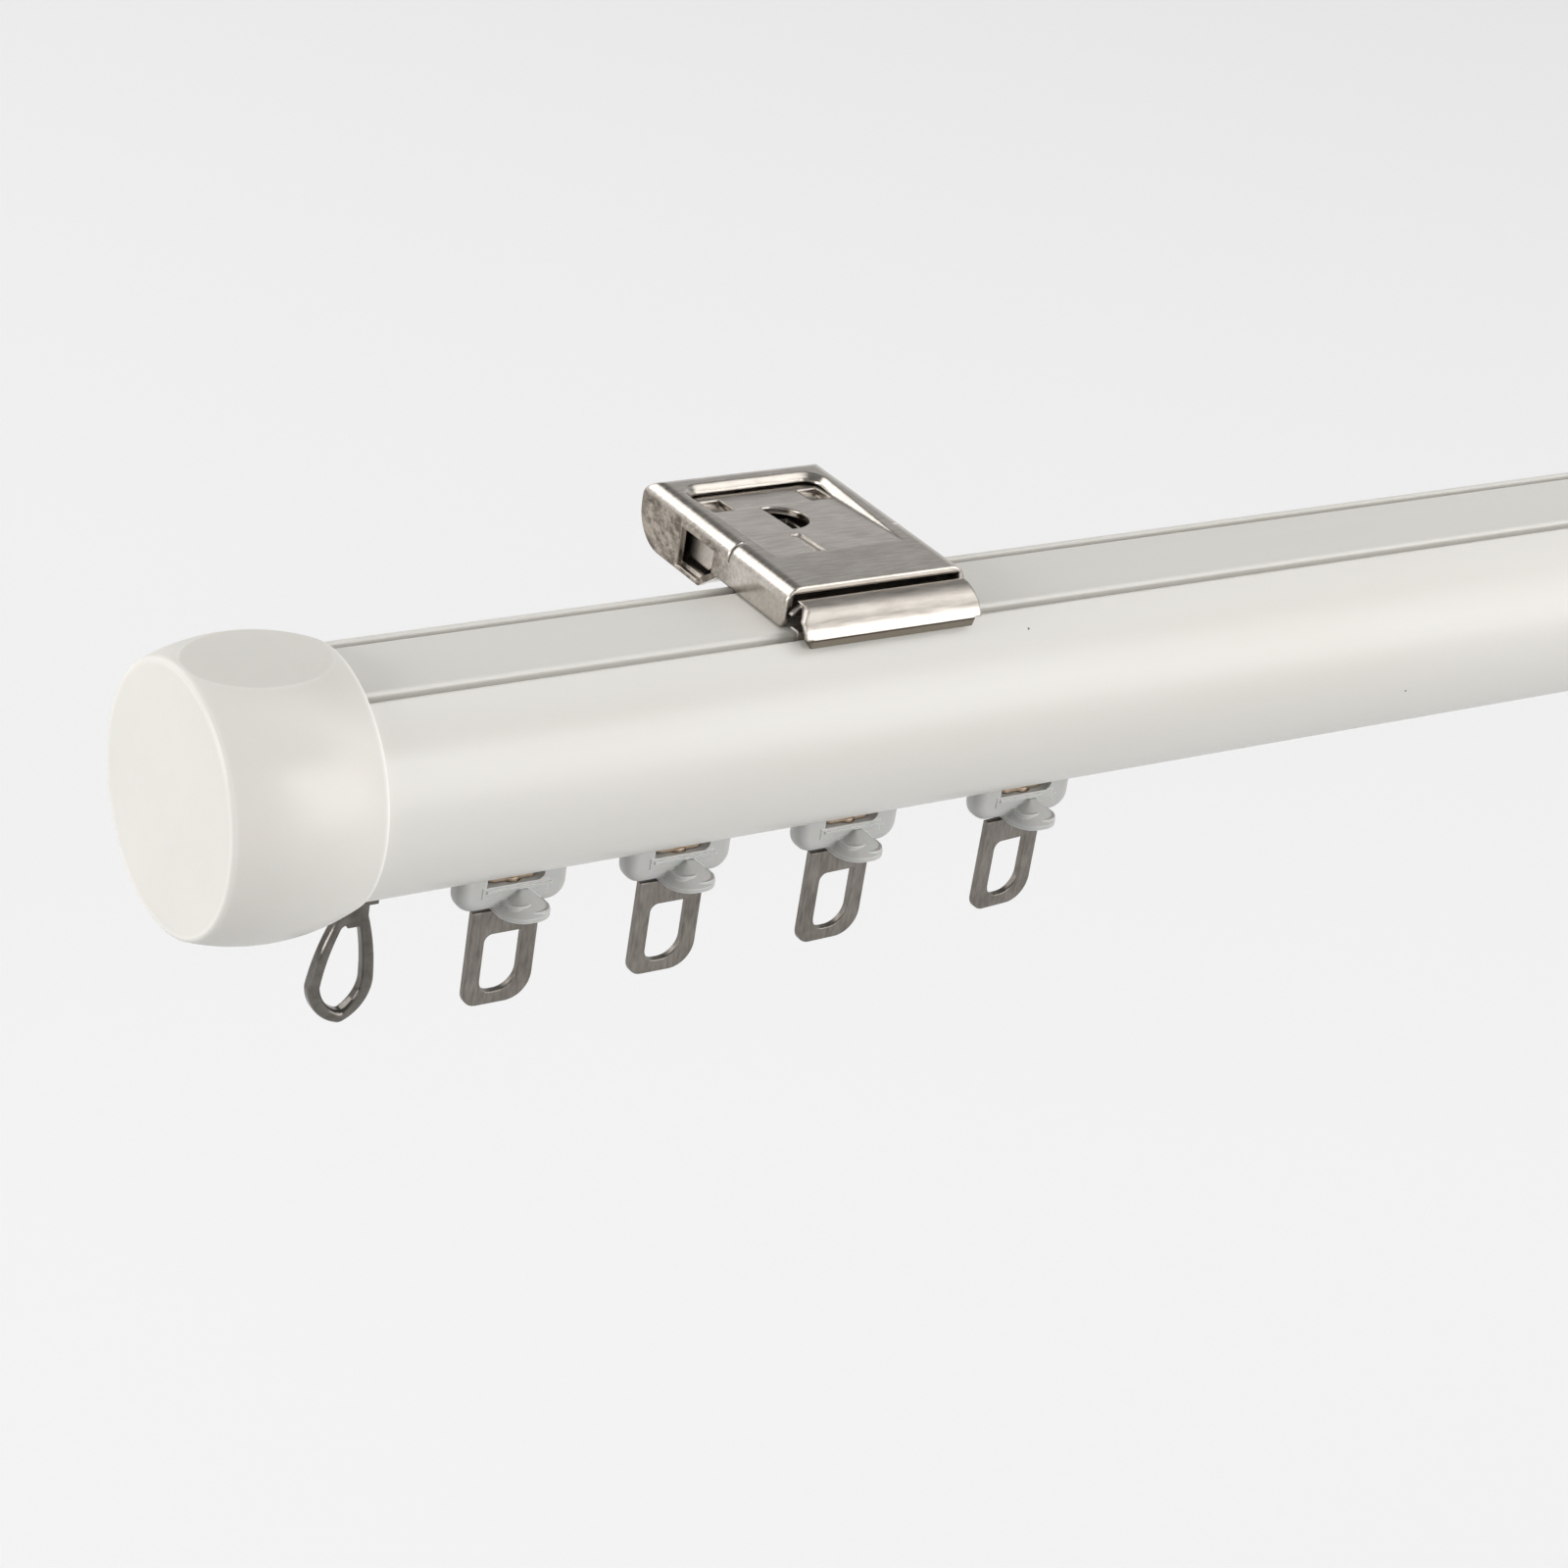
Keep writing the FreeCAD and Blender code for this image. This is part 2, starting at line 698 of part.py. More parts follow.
def runner_guide(body):
    guide = sketch_on(body, "XZ_Plane", "guide")
    add_rectangle(guide, -size.guide_half, guide_bottom, size.guide_half, guide_top)
    pad(body, guide, size.guide_thickness, symmetric=True)
    corners = edges_through(body, "y", both_sides(size.guide_half, guide_bottom))
    round_edges(body, "guide_corners", size.guide_corner, corners)
    face = size.guide_thickness / 2
    ends = both_sides(size.guide_half, face) + both_sides(size.guide_half, -face)
    round_edges(body, "guide_rim", size.guide_rim, edges_through(body, "z", ends))
    sill = sketch_on(body, "XZ_Plane", "sill")
    add_rectangle(sill, -size.sill_half, sill_level - size.sill_depth, size.sill_half, sill_level)
    pad(body, sill, size.sill_thickness, symmetric=True)
    line = sketch_on(body, "XZ_Plane", "sill_line")
    line_top = sill_level - size.sill_line
    line_bottom = line_top - size.sill_line
    add_rectangle(line, -size.window_half, line_bottom, size.sill_half + size.sill_line, line_top)
    pad(body, line, size.sill_thickness + size.sill_line, symmetric=True)
    boss_tier(
        body, "boss", size.boss_shift, size.boss_half, size.boss_reach, size.boss_round,
        ZERO, size.boss_height,
    )
    bevel = boss_tier(
        body, "boss_bevel", size.boss_shift, size.boss_half, size.boss_reach, size.boss_round,
        size.boss_height, size.boss_bevel,
    )
    bevel.TaperAngle = -BEVEL_SLOPE
    doc.recompute()
    boss_tier(
        body, "boss_top", ZERO, size.boss_tier_half, size.boss_tier_reach, size.boss_tier_round,
        ZERO, size.boss_tier_height,
    )
    boss_tier(
        body, "boss_step", size.boss_step_shift, size.boss_step_half, size.boss_step_reach,
        size.boss_step_round, ZERO, size.boss_step_height,
    )


def boss_tier(body, name, middle, half, reach, bend, start, height):
    """Rounded slab of the swivel boss, from so far over its lower face."""
    left = middle - half
    right = middle + half
    points = [
        (right, bend - reach),
        (right, reach - bend),
        (right - bend, reach),
        (left + bend, reach),
        (left, reach - bend),
        (left, bend - reach),
        (left + bend, -reach),
        (right - bend, -reach),
    ]
    tier = sketch_on(body, "XY_Plane", name, boss_bottom + start)
    add_outline(tier, points, {1: bend, 3: bend, 5: bend, 7: bend})
    return pad(body, tier, height)


def runner_carriage(body):
    bottom = track_floor + size.carriage_gap
    top = bottom + size.carriage_height
    neck = sketch_on(body, "XZ_Plane", "neck")
    add_rectangle(neck, -size.neck_half, guide_top, size.neck_half, bottom)
    pad(body, neck, size.neck_thickness, symmetric=True)
    carriage = sketch_on(body, "XZ_Plane", "carriage")
    add_rectangle(carriage, -size.carriage_half, bottom, size.carriage_half, top)
    pad(body, carriage, size.carriage_thickness, symmetric=True)
    corners = edges_through(body, "y", both_sides(size.carriage_half, top))
    round_edges(body, "carriage_corners", size.guide_corner, corners)
    bore = sketch_on(body, "XZ_Plane", "axle_bore")
    add_circle(bore, ZERO, axle_level, size.axle_radius + size.axle_clearance)
    cut(body, bore)


def build_wheels(label, along):
    """Axle across the runner with a wheel pressed on each end."""
    inner = size.carriage_thickness / 2 + size.wheel_gap
    outer = inner + size.wheel_width
    lying = Rotation(Vector(1, 0, 0), -90)
    x = along - size.bracket_inset
    z = axle_level - base_top
    nodes = [add_cylinder(f"{label}_axle", size.axle_radius, outer * 2, x, -outer, z, lying)]
    for name, start in (("wheel_front", -outer), ("wheel_back", inner)):
        body = new_body(f"{label}_{name}")
        disc = sketch_on(body, "XY_Plane", "disc")
        add_circle(disc, ZERO, ZERO, size.wheel_radius)
        add_circle(disc, ZERO, ZERO, size.axle_radius)
        pad(body, disc, size.wheel_width)
        rims = [
            f"Edge{number}"
            for number, edge in enumerate(body.Tip.Shape.Edges, 1)
            if edge.Curve.TypeId == "Part::GeomCircle" and edge.Curve.Radius > size.axle_radius.value * 2
        ]
        round_edges(body, "rims", size.wheel_round, rims)
        place(body, x, start, z, lying)
        nodes.append(body)
    return nodes


def build_eye(label, along, turn):
    """Metal eye for a curtain hook, hanging in the runner by a stem with a flat head."""
    body = new_body(f"{label}_eye")
    bottom = eye_top - size.eye_height
    tab = sketch_on(body, "XZ_Plane", "tab")
    add_rectangle(tab, -size.eye_half, bottom, size.eye_half, eye_top)
    pad(body, tab, size.eye_thickness, symmetric=True)
    near_corner = edges_through(body, "y", [(-size.eye_half, bottom)])
    round_edges(body, "near_corner", size.eye_near_corner, near_corner)
    round_edges(body, "far_corner", size.eye_far_corner, edges_through(body, "y", [(size.eye_half, bottom)]))
    hole_bottom = bottom + size.eye_hole_rise
    hole_top = hole_bottom + size.eye_hole_height
    hole = sketch_on(body, "XZ_Plane", "hole")
    add_rectangle(hole, -size.eye_hole_half, hole_bottom, size.eye_hole_half, hole_top)
    cut(body, hole)
    half = size.eye_hole_half
    for name, radius, x, z in (
        ("hole_near_top", size.hole_near_top, -half, hole_top),
        ("hole_far_top", size.hole_far_top, half, hole_top),
        ("hole_near_bottom", size.hole_near_bottom, -half, hole_bottom),
        ("hole_far_bottom", size.hole_far_bottom, half, hole_bottom),
    ):
        round_edges(body, name, radius, edges_through(body, "y", [(x, z)]))
    face = size.eye_thickness / 2
    face_edges = edges_in_plane(body, "y", face) + edges_in_plane(body, "y", -face)
    round_edges(body, "faces", size.eye_round, face_edges)
    eye_stem(body)
    place_along(body, along, turn)
    return body


def eye_stem(body):
    head_bottom = sill_level + size.stem_clearance
    stem_bottom = eye_top - size.stem_root
    stem = sketch_on(body, "XY_Plane", "stem", stem_bottom)
    add_circle(stem, ZERO, ZERO, size.stem_radius)
    pad(body, stem, head_bottom - stem_bottom + size.head_height / 2)
    head = sketch_on(body, "XY_Plane", "head", head_bottom)
    half = size.head_thickness / 2
    add_rectangle(head, -size.head_half, -half, size.head_half, half)
    pad(body, head, size.head_height)
    corners = both_sides(size.head_half, half) + both_sides(size.head_half, -half)
    round_edges(body, "head_ends", half * NEARLY_ALL, edges_through(body, "z", corners))


def build_base(label, along):
    """Pressed sheet-steel bracket, open in front and below, with the fixed hook for the rail's rear groove."""
    body = new_body(f"{label}_base")
    base_shell(body)
    base_side_openings(body)
    base_hook(body)
    base_panel(body)
    base_screw_openings(body)
    base_spring_tabs(body)
    place_along(body, along)
    return body


def base_shell(body):
    wall = sketch_on(body, "YZ_Plane", "side_outline")
    points = [
        (-size.base_front, base_top),
        (-size.base_front, wall_bottom + 0.9),
        (-size.base_front + 0.65, wall_bottom),
        (size.groove_half + 2.4, wall_bottom),
        (size.groove_half + 5.8, base_floor),
        (size.base_rear, base_floor),
        (size.base_rear, base_top),
    ]
    add_outline(wall, points)
    pad(body, wall, size.base_half * 2, symmetric=True)
    rear_bottom = edges_through(body, "x", [(size.base_rear, base_floor)])
    round_edges(body, "rear_bend", size.base_rear_round, rear_bottom)
    top_edges = edges_through(body, "x", [(size.base_rear, base_top)])
    top_edges += edges_through(body, "y", both_sides(size.base_half, base_top))
    round_edges(body, "top_bends", size.base_round, top_edges)
    inside = sketch_on(body, "YZ_Plane", "inside")
    ceiling = base_top - size.base_sheet
    floor = base_floor + size.base_sheet
    rear = size.base_rear - size.base_sheet
    bend = size.base_rear_round - size.base_sheet
    points = [
        (-size.base_front - CUT_MARGIN, ceiling),
        (-size.base_front - CUT_MARGIN, base_floor - CUT_MARGIN),
        (size.groove_half + 6.15, base_floor - CUT_MARGIN),
        (size.groove_half + 6.45, floor),
        (rear - bend, floor),
        (rear, floor + bend),
        (rear, ceiling),
    ]
    add_outline(inside, points, {4: bend})
    cut(body, inside, (size.base_half - size.base_sheet) * 2, symmetric=True)


def base_side_openings(body):
    sill = base_floor + size.base_rim
    points = [
        (size.window_front, wall_bottom),
        (size.window_front + 2.6, sill),
        (size.window_rear, sill),
        (size.window_rear, flange_level + size.window_rise),
        (size.window_front, flange_level + size.window_rise),
    ]
    for name, start in (
        ("left_window", -size.base_half - CUT_MARGIN),
        ("right_window", size.base_half - size.base_sheet),
    ):
        window = sketch_on(body, "YZ_Plane", name, start)
        add_outline(window, points)
        cut(body, window, size.base_sheet + CUT_MARGIN, upward=True)
    for name, side in (("left_seam", -1), ("right_seam", 1)):
        seam = sketch_on(body, "XY_Plane", name, latch_level + size.latch_sheet)
        inner = (size.base_half - size.base_round) * side
        outer = (size.base_half + CUT_MARGIN) * side
        left, right = (outer, inner) if side < 0 else (inner, outer)
        add_rectangle(seam, left, size.seam_place, right, size.seam_place + size.seam_width)
        cut(body, seam, base_top, upward=True)


def base_hook(body):
    """Strip from the bottom sheet forward and down into the rear groove, turned in under the flange."""
    hook = sketch_on(body, "YZ_Plane", "hook")
    sheet = size.base_sheet
    lip_top = flange_bottom - size.hook_under_gap
    lip_front = size.flange_half - size.hook_reach
    inner = size.flange_half + size.hook_side_gap
    shelf = wall_bottom - 0.3
    bend = size.groove_half + 2.6
    floor_front = size.groove_half + 6.1
    points = [
        (floor_front, base_floor),
        (floor_front + sheet, base_floor),
        (floor_front + sheet, base_floor + sheet),
        (floor_front + 0.35, base_floor + sheet),
        (bend + 0.35, shelf + sheet),
        (inner, shelf + sheet),
        (inner, lip_top),
        (lip_front, lip_top),
        (lip_front, lip_top - sheet),
        (inner + sheet, lip_top - sheet),
        (inner + sheet, shelf),
        (bend, shelf),
    ]
    add_outline(hook, points)
    pad(body, hook, (size.base_half - size.base_sheet) * 2, symmetric=True)


def panel_sketch(body, name, depth):
    """Sketch on the sloping plane of the recessed panel, so far below its floor."""
    sketch = sketch_on(body, "XY_Plane", name)
    slope = math.degrees(math.atan2(size.panel_depth.value, size.panel_length.value))
    sketch.AttachmentOffset = Placement(Vector(0, 0, 0), Rotation(Vector(1, 0, 0), -slope))
    bind(sketch, "AttachmentOffset.Base.y", size.panel_start)
    bind(sketch, "AttachmentOffset.Base.z", base_top - depth)
    return sketch


def base_panel(body):
    """Panel pressed down towards the rear of the top, its sides sloping."""
    under = panel_sketch(body, "panel_under", size.base_sheet)
    half = size.base_half - size.panel_side + size.base_sheet
    add_rectangle(under, -half, ZERO, half, size.panel_length + size.base_sheet)
    pad(body, under, size.base_sheet * NEARLY_ALL)
    recess = panel_sketch(body, "panel_recess", ZERO)
    half = size.base_half - size.panel_side
    rear = size.panel_length
    bend = size.panel_round
    points = [
        (-half, ZERO),
        (half, ZERO),
        (half, rear - bend),
        (half - bend, rear),
        (bend - half, rear),
        (-half, rear - bend),
    ]
    add_outline(recess, points, {2: bend, 4: bend})
    feature = cut(body, recess, size.panel_depth * 2, upward=True)
    feature.TaperAngle = PANEL_SIDE_SLOPE
    doc.recompute()


def base_screw_openings(body):
    """Hole with a straight side for the ceiling screw, the slit beside it, and the driver's way in below."""
    top = base_top + CUT_MARGIN
    depth = size.base_sheet * 3 + CUT_MARGIN
    centre = -size.screw_hole_shift
    straight = centre - size.screw_hole_flat
    half = leg(size.screw_hole_radius, size.screw_hole_flat)
    hole = sketch_on(body, "XY_Plane", "screw_hole", top)
    ends = [(straight, size.screw_hole_back - half), (straight, size.screw_hole_back + half)]
    add_outline(hole, ends, {0: size.screw_hole_radius}, long_way=True)
    cut(body, hole, depth)
    slit = sketch_on(body, "XY_Plane", "slit", top)
    left = straight - size.slit_shift - size.slit_width / 2
    right = left + size.slit_width
    front = size.slit_start
    rear = front + size.slit_length
    points = [
        (left, front),
        (left + size.slit_foot, front),
        (left + size.slit_foot, front + size.slit_width),
        (right, front + size.slit_width),
        (right, rear),
        (left, rear),
    ]
    add_outline(slit, points)
    cut(body, slit, depth)
    tongue = panel_sketch(body, "tongue", ZERO)
    near = front + size.slit_width - size.panel_start
    add_rectangle(tongue, right, near, right + size.tongue_width, rear - size.panel_start)
    cut(body, tongue, size.tongue_drop)
    driver = sketch_on(body, "XY_Plane", "driver_hole", tab_bottom + CUT_MARGIN * 2)
    add_circle(driver, centre, size.screw_hole_back, size.driver_hole_radius)
    cut(body, driver, base_top)


def base_spring_tabs(body):
    """Two tabs lanced down out of the top sheet, each the seat of a spring, and the holes they leave."""
    rear = size.tab_front + size.base_sheet
    for name, side in (("left_tab", -1), ("right_tab", 1)):
        middle = tab_spread * side
        hole = sketch_on(body, "XY_Plane", f"{name}_hole", base_top + CUT_MARGIN)
        half = size.tab_hole_half
        add_rectangle(hole, middle - half, rear, middle + half, rear + size.tab_hole_length)
        cut(body, hole, size.base_sheet * 2 + CUT_MARGIN)
        tab = sketch_on(body, "XY_Plane", name, tab_bottom)
        half = size.tab_half
        add_rectangle(tab, middle - half, size.tab_front, middle + half, rear)
        pad(body, tab, base_top - size.base_sheet - tab_bottom - 0.2)


def build_latch(label, along):
    """Sprung latch: slider inside the base and, in one with it, the clip over the rail's front groove."""
    body = new_body(f"{label}_latch")
    latch_slider(body)
    latch_clip(body)
    latch_openings(body)
    place_along(body, along)
    return body


def latch_slider(body):
    sheet = size.latch_sheet
    level = latch_level
    front = -size.base_front - 0.7
    section = sketch_on(body, "YZ_Plane", "slider")
    points = [
        (front, level),
        (size.latch_rear - sheet, level),
        (size.latch_rear - sheet, latch_skirt),
        (size.latch_rear, latch_skirt),
        (size.latch_rear, level + sheet),
        (front, level + sheet),
    ]
    add_outline(section, points)
    pad(body, section, latch_half * 2, symmetric=True)
    for name, start in (("left_skirt", -latch_half), ("right_skirt", latch_half - sheet)):
        skirt = sketch_on(body, "YZ_Plane", name, start)
        points = [
            (size.window_front - 0.8, level + sheet / 2),
            (size.window_front - 0.8, level - sheet),
            (size.window_front + 3.1, latch_skirt),
            (size.latch_rear - sheet / 2, latch_skirt),
            (size.latch_rear - sheet / 2, level + sheet / 2),
        ]
        add_outline(skirt, points)
        pad(body, skirt, sheet)


def latch_clip(body):
    """Rounded face whose lower edge turns back over the rail and down into its front groove."""
    sheet = size.latch_sheet
    lip_sheet = size.latch_lip_sheet
    back = -size.base_front - 0.4
    level = latch_level
    lip = flange_level - size.latch_lip_drop
    lip_front = -size.flange_half + size.latch_lip_reach
    upright = -size.flange_half - size.latch_lip_gap
    shelf = wall_bottom + 0.2
    face_half = size.base_half - size.latch_face_side
    clip = sketch_on(body, "YZ_Plane", "clip")
    points = [
        (back, level),
        (back, level + 1.3),
        (back - 0.55, level + 1.7),
        (back - 4.15, level - 1.3),
        (back - 4.12, level - 1.75),
        (back - 3.85, level - 2.6),
        (back - 3.35, level - 2.45),
        (upright - 1.2, shelf),
        (upright - lip_sheet, shelf),
        (upright - lip_sheet, lip),
        (lip_front, lip),
        (lip_front, lip + lip_sheet),
        (upright, lip + lip_sheet),
        (upright, shelf + sheet),
        (upright - 1.3, shelf + sheet),
        (back - 3.15, level - 1.8),
        (back - 3.4, level - 1.7),
        (back - 3.41, level - 1.08),
        (back - 2.91, level - 0.33),
        (back - 2.07, level + 0.43),
        (back - 0.93, level + 1.0),
        (back - sheet, level + 1.0),
        (back - sheet, level),
    ]
    curves = {1: size.clip_top_bend, 2: size.clip_face_curve, 3: size.clip_front_bend, 5: size.clip_low_bend}
    add_outline(clip, points, curves)
    pad(body, clip, face_half * 2, symmetric=True)
    clip_ends(body, face_half, level)
    hook_half = size.base_half - size.latch_hook_side
    for name, start, end in (
        ("left_trim", -face_half - CUT_MARGIN, -hook_half),
        ("right_trim", hook_half, face_half + CUT_MARGIN),
    ):
        trim = sketch_on(body, "XZ_Plane", name)
        add_rectangle(trim, start, lip - CUT_MARGIN, end, level - 1.4)
        cut(body, trim)


def clip_ends(body, half, level):
    """Small notch in the left end of the clip's face, and the rounded upper corner of its right end."""
    notch = sketch_on(body, "XZ_Plane", "notch")
    edge = -half - CUT_MARGIN / 5
    middle = level + size.latch_notch
    points = [
        (edge, middle - size.latch_notch),
        (edge, middle + size.latch_notch),
        (size.latch_notch - half, middle),
    ]
    add_outline(notch, points)
    cut(body, notch)
    over = level + 2.0
    low = over - size.clip_end_round * 2
    bend = size.clip_end_round
    right = half
    points = [
        (right - bend, over),
        (right - bend / 3, over - bend / 2),
        (right, low),
        (right + CUT_MARGIN, low),
        (right + CUT_MARGIN, over + CUT_MARGIN),
        (right - bend, over + CUT_MARGIN),
    ]
    corner = sketch_on(body, "XZ_Plane", "end_corner")
    add_outline(corner, points)
    cut(body, corner)


def latch_openings(body):
    """Long hole round the ceiling screw, and slots that let the spring tabs through."""
    top = latch_level + size.latch_sheet + CUT_MARGIN
    depth = size.latch_sheet + CUT_MARGIN * 1.5
    screw = sketch_on(body, "XY_Plane", "screw_slot", top)
    centre = -size.screw_hole_shift
    half = size.latch_slot_half
    add_rectangle(screw, centre - half, size.latch_slot_front, centre + half, size.latch_slot_rear)
    cut(body, screw, depth)
    for name, side in (("left_tab_slot", -1), ("right_tab_slot", 1)):
        slot = sketch_on(body, "XY_Plane", name, top)
        middle = tab_spread * side
        half = size.tab_half + 0.5
        add_rectangle(slot, middle - half, size.tab_front - 0.3, middle + half, size.tab_front + 3.1)
        cut(body, slot, depth)


def build_spring(label, along, side):
    """Coil spring between a tab of the base and the rear flange of the latch."""
    start = size.tab_front + size.base_sheet + size.spring_wire + size.spring_gap
    end = size.latch_rear - size.latch_sheet - size.spring_wire - size.spring_gap
    coil = doc.addObject("Part::Helix", f"{label}_coil")
    coil.SegmentLength = COIL_SEGMENT
    bind(coil, "Radius", size.spring_radius)
    bind(coil, "Height", end - start)
    bind(coil, "Pitch", (end - start) / size.spring_turns)
    doc.recompute()
    wire = doc.addObject("Part::Circle", f"{label}_wire")
    bind(wire, "Radius", size.spring_wire)
    place(wire, size.spring_radius, ZERO, ZERO, Rotation(Vector(1, 0, 0), 90))
    spring = doc.addObject("Part::Sweep", label)
    spring.Label = label
    spring.Sections = [wire]
    spring.Spine = (coil, [f"Edge{number}" for number in range(1, len(coil.Shape.Edges) + 1)])
    spring.Solid = True
    spring.Frenet = True
    doc.recompute()
    x = along - size.bracket_inset + tab_spread * side
    place(spring, x, start, spring_level - base_top, Rotation(Vector(1, 0, 0), -90))
    return spring


def build_ends():
    nodes = []
    far = size.track_length
    for side, end, stop, turn in (
        ("left", ZERO, size.stop_inset, 0.0),
        ("right", far, far - size.stop_inset, HALF_TURN),
    ):
        nodes.append(build_end_cap(f"end_cap_{side}", end, turn))
        nodes.append(build_stop_nut(f"end_stop_nut_{side}", stop, turn))
        nodes.append(build_end_ring(f"end_ring_{side}", stop, turn))
    nodes.append(build_stop_screws())
    return nodes


def build_runners():
    nodes = []
    for runner in RUNNERS:
        along = getattr(size, f"{runner}_place")
        nodes.append(build_runner_body(runner, along))
        nodes.extend(build_wheels(runner, along))
        nodes.append(build_eye(runner, along, EYE_TURNS[runner]))
    return nodes


def build_brackets():
    nodes = []
    places = (size.bracket_inset, size.track_length - size.bracket_inset)
    for bracket, along in zip(BRACKETS, places):
        nodes.append(build_base(bracket, along))
        nodes.append(build_latch(bracket, along))
        nodes.append(build_spring(f"{bracket}_spring_left", along, -1))
        nodes.append(build_spring(f"{bracket}_spring_right", along, 1))
    return nodes


def check_document():
    for thing in doc.Objects:
        if "Invalid" in thing.State or "Error" in thing.State:
            raise RuntimeError(f"{thing.Label} is in state {thing.State}")


def write_nodes(nodes):
    os.makedirs("parts", exist_ok=True)
    for node in nodes:
        shape = node.Shape
        if shape.isNull() or not shape.isValid():
            raise RuntimeError(f"{node.Label} has no valid shape")
        shape.exportStep(f"parts/{node.Label}.step")
        print(f"{node.Label}: {len(shape.Solids)} solid, {shape.Volume:.1f} cubic mm")


track_nodes = [build_rail()] + build_ends() + build_runners() + build_brackets()
doc.recompute()
check_document()
write_nodes(track_nodes)
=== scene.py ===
import json

import bpy
from mathutils import Matrix, Vector

# Looks for the curtain track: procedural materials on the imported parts, a pale floor, soft studio light.
# Metres, in the frame's own axes.

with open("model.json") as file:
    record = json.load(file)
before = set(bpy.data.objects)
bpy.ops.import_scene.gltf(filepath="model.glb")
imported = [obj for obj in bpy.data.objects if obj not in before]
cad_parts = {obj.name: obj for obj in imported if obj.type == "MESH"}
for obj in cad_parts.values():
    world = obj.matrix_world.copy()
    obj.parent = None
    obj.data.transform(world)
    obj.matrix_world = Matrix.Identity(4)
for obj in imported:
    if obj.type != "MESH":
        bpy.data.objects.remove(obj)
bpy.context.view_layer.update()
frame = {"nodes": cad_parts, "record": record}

MM = 0.001
MICRON = 0.000001

# Camera, fitted to the photograph's outlines.
CAMERA_PLACE = Vector((-0.25930, -0.33566, 0.18385))
CAMERA_RIGHT = Vector((0.8302, -0.5389, 0.1432))
CAMERA_UP = Vector((0.1400, 0.4501, 0.8820))
LENS_MM = 94.27
SENSOR_MM = 36.0
NEAREST_SEEN = 0.01
FARTHEST_SEEN = 100.0

FLOOR_LEVEL = -0.30
FLOOR_HALF = 30.0
FLOOR_GREY = 0.45
FLOOR_ROUGHNESS = 0.9
FLOOR_GLOW = 0.49  # only as seen directly or in a reflection

# Brightness of the studio at a few heights above the horizon (0) up to the zenith (1).
STUDIO_LIGHT = ((0.0, 0.88), (0.18, 0.88), (0.40, 0.52), (0.50, 0.46), (0.58, 0.20), (1.0, 0.24))

# Softboxes: direction from the track, distance, width, height, power in watts.
LAMPS = {
    "left_softbox": (Vector((-0.96, 0.15, 0.22)), 2.4, 1.1, 1.1, 30.0),
    "front_softbox": (Vector((0.54, -0.81, 0.20)), 2.2, 1.6, 1.5, 23.0),
    "top_softbox": (Vector((0.54, -0.24, 0.80)), 2.2, 0.9, 2.7, 14.0),
    "rear_softbox": (Vector((-0.45, 0.71, 0.54)), 2.2, 1.3, 1.3, 12.0),
    "round_lamp": (Vector((0.27, -0.83, 0.49)), 2.2, 0.3, 0.3, 4.2),
}
LAMPS_AIM = Vector((0.05, 0.0, -0.02))

WHITE = (1.0, 1.0, 1.0, 1.0)
NOISE_MIDDLE = 0.5
BEVEL_SAMPLES = 6

# Dust specks: how many a metre each way, where one ends as a share of its cell, and how few cells have one.
SPECKS_A_METRE = 260.0
SPECK_INNER = 0.035
SPECK_OUTER = 0.05
SPECK_RARITY = 0.90
SPECK_RARITY_END = 0.91
SPECK_DEPTH = 20 * MICRON

# Brushed metal: share of the lines in its tone, the rest being clouds, and the range of its roughness.
LINES_SHARE = 0.65
CLOUDS_SHARE = 0.35
SMOOTHER = 0.03
ROUGHER = 0.05

# The bracket's side walls are darker and mottled behind the front, from here to there.
SIDE_FACING = 0.93
SIDE_FACING_FULL = 0.985
DARKER_FROM = 5.0 * MM
DARKER_FULL = 10.0 * MM

# The latch's face turns under at the fold; in front of the lip its lower edge is seen. Below the fold a
# painted dark reflection is put in its colour, with a darker painted shade line just under the fold.
LATCH_FOLD = -4.3 * MM
LATCH_FOLD_BLUR = 0.1 * MM
LATCH_LIP = -7.0 * MM
LATCH_LIP_BLUR = 0.2 * MM
SHADE_LINE_LOW = 0.35 * MM  # below the fold
SHADE_LINE_HIGH = 0.15 * MM

# The eye's stem is brassy above this height.
BRASS_FROM = -36.8 * MM
BRASS_FULL = -36.2 * MM

RING_GRAIN = 500.0
PLAIN_GRAIN = 900.0


def colour(red, green, blue):
    """Screen colour, 0 to 255, as the linear colour that shaders take."""
    def linear(level):
        level /= 255
        return level / 12.92 if level <= 0.04045 else ((level + 0.055) / 1.055) ** 2.4
    return (linear(red), linear(green), linear(blue), 1.0)


RAIL_DARK = colour(222, 219, 212)
RAIL_LIGHT = colour(227, 225, 219)
# Painted highlight: near-white mixed into the rail's edges.
RAIL_PAINTED_HIGHLIGHT = colour(250, 248, 243)
RAIL_SPECK = colour(96, 90, 84)

CAP_DARK = colour(222, 219, 212)
CAP_LIGHT = colour(226, 223, 216)
# Painted highlight: near-white mixed into the cap's edges.
CAP_PAINTED_HIGHLIGHT = colour(252, 250, 245)

RUNNER_DARK = colour(184, 184, 182)
RUNNER_LIGHT = colour(192, 192, 189)
# Painted highlight: near-white mixed into the runners' edges.
RUNNER_PAINTED_HIGHLIGHT = colour(244, 244, 241)

WHEEL_DARK = colour(214, 213, 208)
WHEEL_LIGHT = colour(224, 223, 218)

PLATED_DARK = colour(176, 169, 161)
PLATED_LIGHT = colour(206, 200, 192)
# Darker mottled colour of the bracket's side walls behind the front.
SIDE_DARK = colour(104, 96, 86)
SIDE_LIGHT = colour(176, 166, 154)
